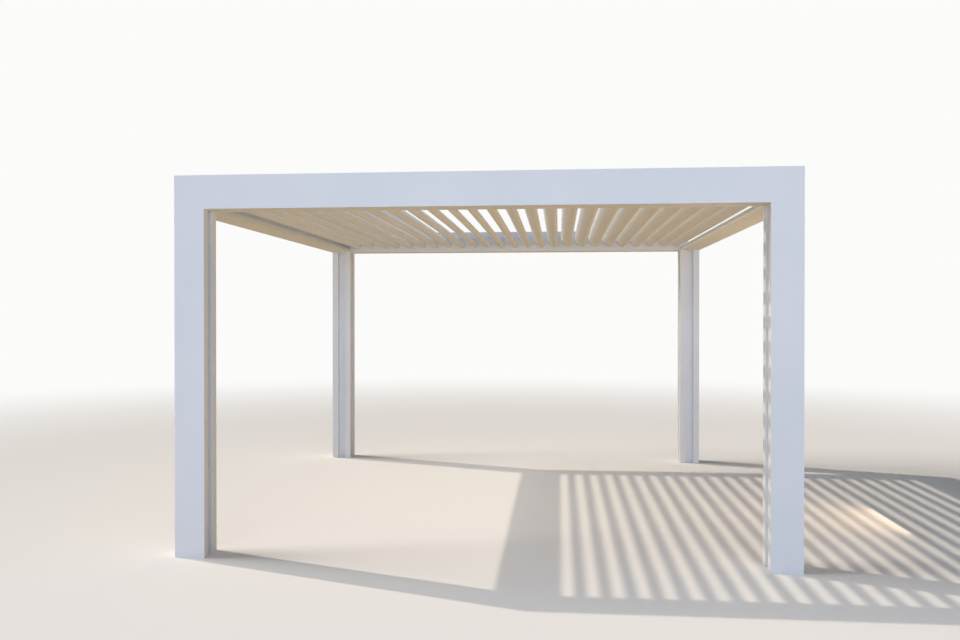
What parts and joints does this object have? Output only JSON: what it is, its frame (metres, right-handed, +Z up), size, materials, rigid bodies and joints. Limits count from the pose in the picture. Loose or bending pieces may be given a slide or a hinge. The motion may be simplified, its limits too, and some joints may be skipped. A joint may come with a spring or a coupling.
{
  "type": "louvred roof pergola",
  "caption": "Free-standing pergola with square posts, box beams with gutters and a roof of turning louvres linked by a drive rod.",
  "frame": {"origin": "on the ground in the middle of the frame", "axes": "+Z up, +X to the right as seen from the front, +Y towards the back, along the louvres"},
  "size_m": [4, 4.15, 2.5],
  "materials": {
    "frame_coat": "matt white powder coat on aluminium",
    "louvre_coat": "matt white powder coat on aluminium",
    "drive_metal": "satin stainless"
  },
  "bodies": {
    "frame": {"post_front_left": "frame_coat", "post_front_right": "frame_coat", "post_back_left": "frame_coat", "post_back_right": "frame_coat", "base_plate_front_left": "frame_coat", "base_plate_front_right": "frame_coat", "base_plate_back_left": "frame_coat", "base_plate_back_right": "frame_coat", "beam_front": "frame_coat", "beam_back": "frame_coat", "beam_left": "frame_coat", "beam_right": "frame_coat", "gutter_front": "frame_coat", "gutter_back": "frame_coat", "gutter_left": "frame_coat", "gutter_right": "frame_coat", "pivot_rail_front": "frame_coat", "pivot_rail_back": "frame_coat"},
    "louvre_01": {"louvre_01": "louvre_coat"},
    "louvre_02": {"louvre_02": "louvre_coat"},
    "louvre_03": {"louvre_03": "louvre_coat"},
    "louvre_04": {"louvre_04": "louvre_coat"},
    "louvre_05": {"louvre_05": "louvre_coat"},
    "louvre_06": {"louvre_06": "louvre_coat"},
    "louvre_07": {"louvre_07": "louvre_coat"},
    "louvre_08": {"louvre_08": "louvre_coat"},
    "louvre_09": {"louvre_09": "louvre_coat"},
    "louvre_10": {"louvre_10": "louvre_coat"},
    "louvre_11": {"louvre_11": "louvre_coat"},
    "louvre_12": {"louvre_12": "louvre_coat"},
    "louvre_13": {"louvre_13": "louvre_coat"},
    "louvre_14": {"louvre_14": "louvre_coat"},
    "louvre_15": {"louvre_15": "louvre_coat"},
    "louvre_16": {"louvre_16": "louvre_coat"},
    "louvre_17": {"louvre_17": "louvre_coat"},
    "louvre_18": {"louvre_18": "louvre_coat"},
    "louvre_19": {"louvre_19": "louvre_coat"},
    "louvre_20": {"louvre_20": "louvre_coat"},
    "louvre_21": {"louvre_21": "louvre_coat"},
    "louvre_22": {"louvre_22": "louvre_coat"},
    "louvre_23": {"louvre_23": "louvre_coat"},
    "louvre_24": {"louvre_24": "louvre_coat"},
    "louvre_25": {"louvre_25": "louvre_coat"},
    "drive_rod": {"drive_rod": "drive_metal"}
  },
  "joints": [
    {"name": "louvre_01_turn", "type": "hinge", "parent": "frame", "child": "louvre_01", "pos_m": [-1.74, 0, 2.38], "axis": [0, 1, 0], "range_deg": [-43, 92]},
    {"name": "louvre_02_turn", "type": "hinge", "parent": "frame", "child": "louvre_02", "pos_m": [-1.595, 0, 2.38], "axis": [0, 1, 0], "range_deg": [-43, 92]},
    {"name": "louvre_03_turn", "type": "hinge", "parent": "frame", "child": "louvre_03", "pos_m": [-1.45, 0, 2.38], "axis": [0, 1, 0], "range_deg": [-43, 92]},
    {"name": "louvre_04_turn", "type": "hinge", "parent": "frame", "child": "louvre_04", "pos_m": [-1.305, 0, 2.38], "axis": [0, 1, 0], "range_deg": [-43, 92]},
    {"name": "louvre_05_turn", "type": "hinge", "parent": "frame", "child": "louvre_05", "pos_m": [-1.16, 0, 2.38], "axis": [0, 1, 0], "range_deg": [-43, 92]},
    {"name": "louvre_06_turn", "type": "hinge", "parent": "frame", "child": "louvre_06", "pos_m": [-1.015, 0, 2.38], "axis": [0, 1, 0], "range_deg": [-43, 92]},
    {"name": "louvre_07_turn", "type": "hinge", "parent": "frame", "child": "louvre_07", "pos_m": [-0.87, 0, 2.38], "axis": [0, 1, 0], "range_deg": [-43, 92]},
    {"name": "louvre_08_turn", "type": "hinge", "parent": "frame", "child": "louvre_08", "pos_m": [-0.725, 0, 2.38], "axis": [0, 1, 0], "range_deg": [-43, 92]},
    {"name": "louvre_09_turn", "type": "hinge", "parent": "frame", "child": "louvre_09", "pos_m": [-0.58, 0, 2.38], "axis": [0, 1, 0], "range_deg": [-43, 92]},
    {"name": "louvre_10_turn", "type": "hinge", "parent": "frame", "child": "louvre_10", "pos_m": [-0.435, 0, 2.38], "axis": [0, 1, 0], "range_deg": [-43, 92]},
    {"name": "louvre_11_turn", "type": "hinge", "parent": "frame", "child": "louvre_11", "pos_m": [-0.29, 0, 2.38], "axis": [0, 1, 0], "range_deg": [-43, 92]},
    {"name": "louvre_12_turn", "type": "hinge", "parent": "frame", "child": "louvre_12", "pos_m": [-0.145, 0, 2.38], "axis": [0, 1, 0], "range_deg": [-43, 92]},
    {"name": "louvre_13_turn", "type": "hinge", "parent": "frame", "child": "louvre_13", "pos_m": [0, 0, 2.38], "axis": [0, 1, 0], "range_deg": [-43, 92]},
    {"name": "louvre_14_turn", "type": "hinge", "parent": "frame", "child": "louvre_14", "pos_m": [0.145, 0, 2.38], "axis": [0, 1, 0], "range_deg": [-43, 92]},
    {"name": "louvre_15_turn", "type": "hinge", "parent": "frame", "child": "louvre_15", "pos_m": [0.29, 0, 2.38], "axis": [0, 1, 0], "range_deg": [-43, 92]},
    {"name": "louvre_16_turn", "type": "hinge", "parent": "frame", "child": "louvre_16", "pos_m": [0.435, 0, 2.38], "axis": [0, 1, 0], "range_deg": [-43, 92]},
    {"name": "louvre_17_turn", "type": "hinge", "parent": "frame", "child": "louvre_17", "pos_m": [0.58, 0, 2.38], "axis": [0, 1, 0], "range_deg": [-43, 92]},
    {"name": "louvre_18_turn", "type": "hinge", "parent": "frame", "child": "louvre_18", "pos_m": [0.725, 0, 2.38], "axis": [0, 1, 0], "range_deg": [-43, 92]},
    {"name": "louvre_19_turn", "type": "hinge", "parent": "frame", "child": "louvre_19", "pos_m": [0.87, 0, 2.38], "axis": [0, 1, 0], "range_deg": [-43, 92]},
    {"name": "louvre_20_turn", "type": "hinge", "parent": "frame", "child": "louvre_20", "pos_m": [1.015, 0, 2.38], "axis": [0, 1, 0], "range_deg": [-43, 92]},
    {"name": "louvre_21_turn", "type": "hinge", "parent": "frame", "child": "louvre_21", "pos_m": [1.16, 0, 2.38], "axis": [0, 1, 0], "range_deg": [-43, 92]},
    {"name": "louvre_22_turn", "type": "hinge", "parent": "frame", "child": "louvre_22", "pos_m": [1.305, 0, 2.38], "axis": [0, 1, 0], "range_deg": [-43, 92]},
    {"name": "louvre_23_turn", "type": "hinge", "parent": "frame", "child": "louvre_23", "pos_m": [1.45, 0, 2.38], "axis": [0, 1, 0], "range_deg": [-43, 92]},
    {"name": "louvre_24_turn", "type": "hinge", "parent": "frame", "child": "louvre_24", "pos_m": [1.595, 0, 2.38], "axis": [0, 1, 0], "range_deg": [-43, 92]},
    {"name": "louvre_25_turn", "type": "hinge", "parent": "frame", "child": "louvre_25", "pos_m": [1.74, 0, 2.38], "axis": [0, 1, 0], "range_deg": [-43, 92]},
    {"name": "drive_rod_swing", "type": "hinge", "parent": "louvre_13", "child": "drive_rod", "pos_m": [0, 1.9036, 2.33], "axis": [0, 1, 0], "range_deg": [-92, 43]}
  ],
  "couplings": [
    {"joint": "louvre_01_turn", "follows": "louvre_13_turn", "ratio": 1},
    {"joint": "louvre_02_turn", "follows": "louvre_13_turn", "ratio": 1},
    {"joint": "louvre_03_turn", "follows": "louvre_13_turn", "ratio": 1},
    {"joint": "louvre_04_turn", "follows": "louvre_13_turn", "ratio": 1},
    {"joint": "louvre_05_turn", "follows": "louvre_13_turn", "ratio": 1},
    {"joint": "louvre_06_turn", "follows": "louvre_13_turn", "ratio": 1},
    {"joint": "louvre_07_turn", "follows": "louvre_13_turn", "ratio": 1},
    {"joint": "louvre_08_turn", "follows": "louvre_13_turn", "ratio": 1},
    {"joint": "louvre_09_turn", "follows": "louvre_13_turn", "ratio": 1},
    {"joint": "louvre_10_turn", "follows": "louvre_13_turn", "ratio": 1},
    {"joint": "louvre_11_turn", "follows": "louvre_13_turn", "ratio": 1},
    {"joint": "louvre_12_turn", "follows": "louvre_13_turn", "ratio": 1},
    {"joint": "louvre_14_turn", "follows": "louvre_13_turn", "ratio": 1},
    {"joint": "louvre_15_turn", "follows": "louvre_13_turn", "ratio": 1},
    {"joint": "louvre_16_turn", "follows": "louvre_13_turn", "ratio": 1},
    {"joint": "louvre_17_turn", "follows": "louvre_13_turn", "ratio": 1},
    {"joint": "louvre_18_turn", "follows": "louvre_13_turn", "ratio": 1},
    {"joint": "louvre_19_turn", "follows": "louvre_13_turn", "ratio": 1},
    {"joint": "louvre_20_turn", "follows": "louvre_13_turn", "ratio": 1},
    {"joint": "louvre_21_turn", "follows": "louvre_13_turn", "ratio": 1},
    {"joint": "louvre_22_turn", "follows": "louvre_13_turn", "ratio": 1},
    {"joint": "louvre_23_turn", "follows": "louvre_13_turn", "ratio": 1},
    {"joint": "louvre_24_turn", "follows": "louvre_13_turn", "ratio": 1},
    {"joint": "louvre_25_turn", "follows": "louvre_13_turn", "ratio": 1},
    {"joint": "drive_rod_swing", "follows": "louvre_13_turn", "ratio": -1}
  ]
}
